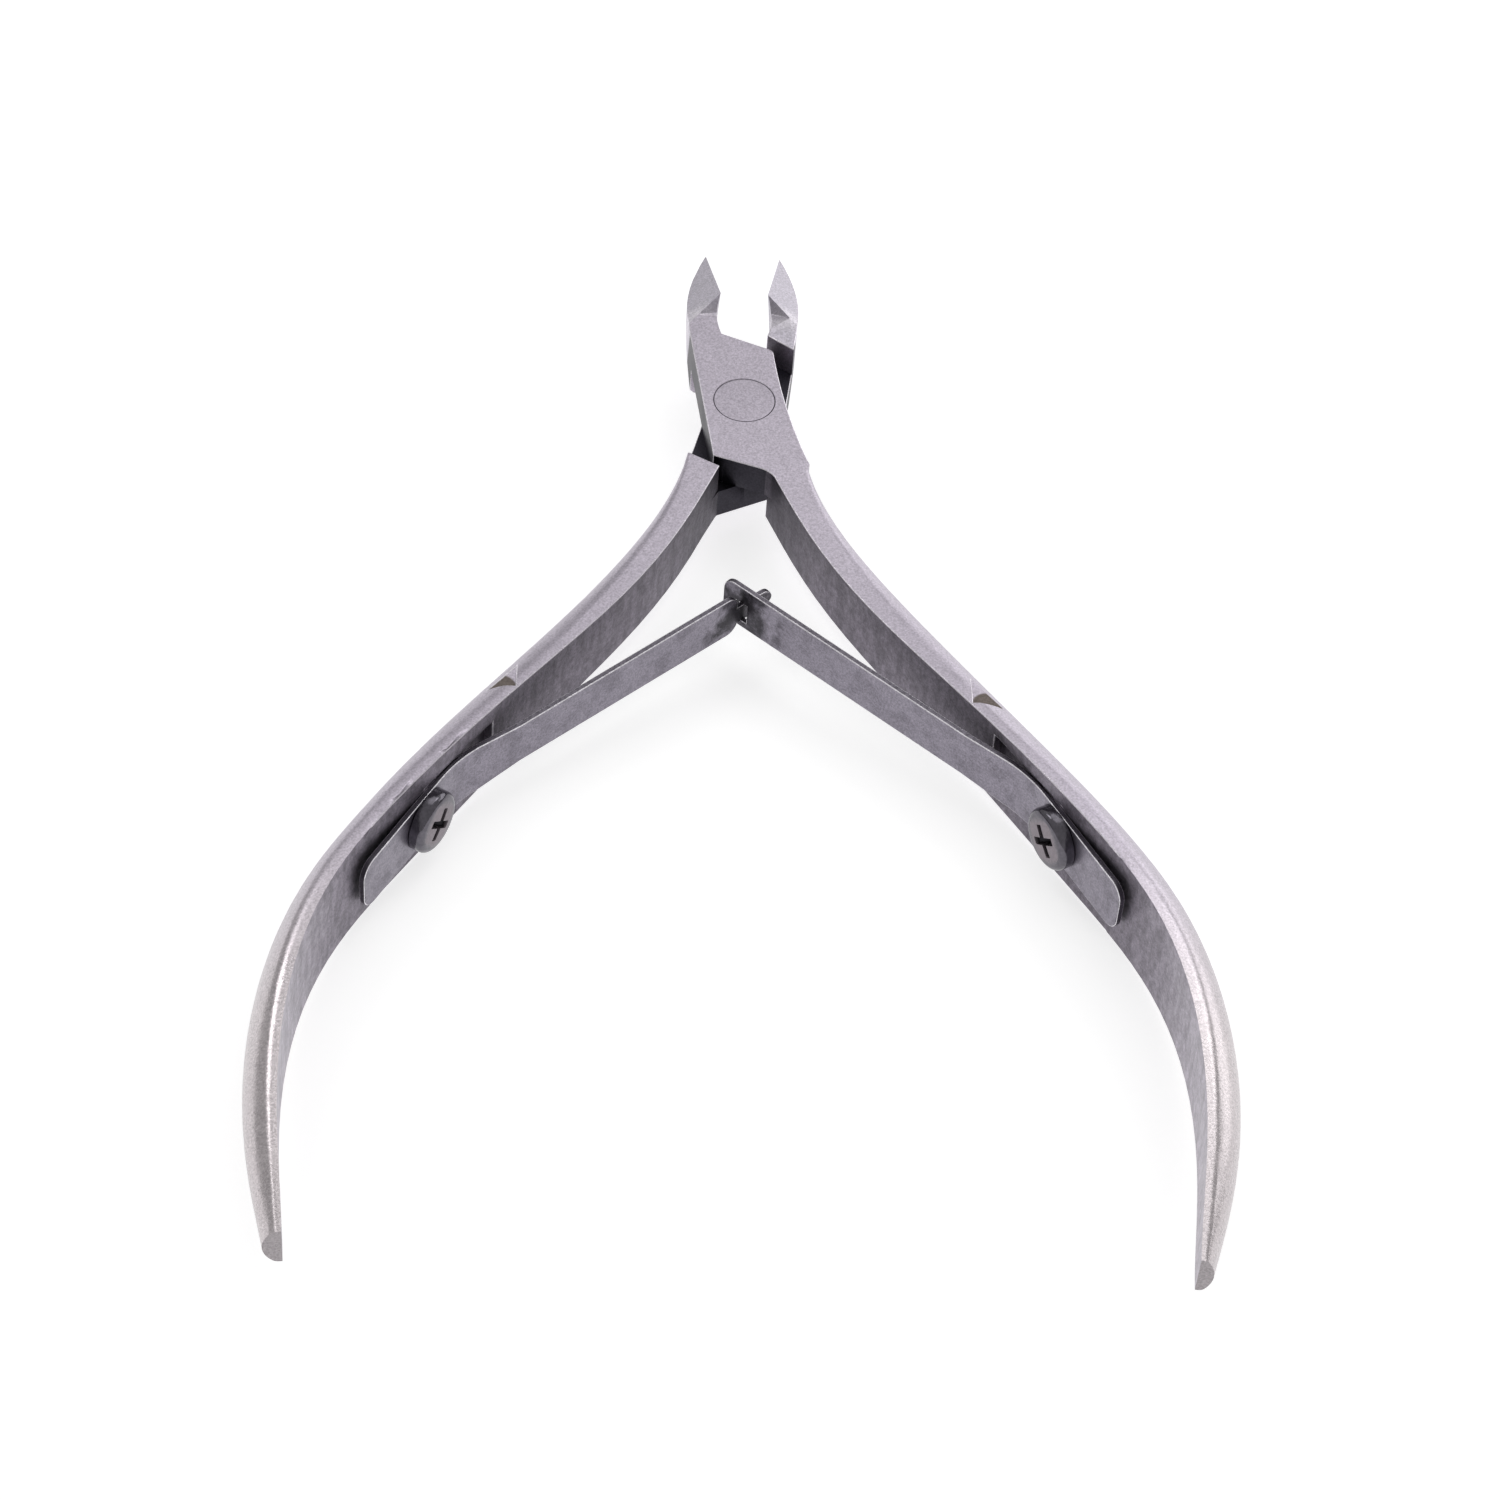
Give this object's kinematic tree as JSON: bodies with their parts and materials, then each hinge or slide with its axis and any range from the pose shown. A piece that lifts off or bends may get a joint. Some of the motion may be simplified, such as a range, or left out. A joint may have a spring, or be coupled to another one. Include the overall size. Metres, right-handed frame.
{
  "type": "cuticle nipper",
  "caption": "Hand nipper with small pointed jaws on a lap joint, curved crowned handles and interlocking leaf springs that hold it open.",
  "frame": {"origin": "where the pivot axis meets the ground flat back face of the joint", "axes": "+Y points to the jaw tips, +Z out of the front face and along the pivot axis, +X to the right seen from the front"},
  "size_m": [0.0707, 0.1023, 0.0087],
  "materials": {
    "forged_steel": "satin",
    "rivet_steel": "satin",
    "spring_steel": "satin",
    "screw_steel": "polished"
  },
  "bodies": {
    "rear": {"rear_half": "forged_steel", "pivot_rivet": "rivet_steel", "left_spring_foot": "spring_steel", "left_screw": "screw_steel"},
    "front": {"front_half": "forged_steel", "right_spring_foot": "spring_steel", "right_screw": "screw_steel"},
    "left_leaf": {"left_spring_leaf": "spring_steel"},
    "right_leaf": {"right_spring_leaf": "spring_steel"}
  },
  "joints": [
    {"name": "handle_pivot", "type": "hinge", "parent": "rear", "child": "front", "pos_m": [0, 0, 0.00275], "axis": [0, 0, -1], "range_deg": [0, 17.4], "stiffness_Nm_per_rad": 1.2},
    {"name": "left_spring_flex", "type": "hinge", "parent": "rear", "child": "left_leaf", "pos_m": [-0.01997, -0.03775, 0.00275], "axis": [0, 0, 1], "range_deg": [0, 8.6]},
    {"name": "right_spring_flex", "type": "hinge", "parent": "front", "child": "right_leaf", "pos_m": [0.01997, -0.03775, 0.00275], "axis": [0, 0, -1], "range_deg": [0, 8.6]}
  ],
  "couplings": [
    {"joint": "left_spring_flex", "follows": "handle_pivot", "ratio": 0.489},
    {"joint": "right_spring_flex", "follows": "handle_pivot", "ratio": 0.489}
  ]
}
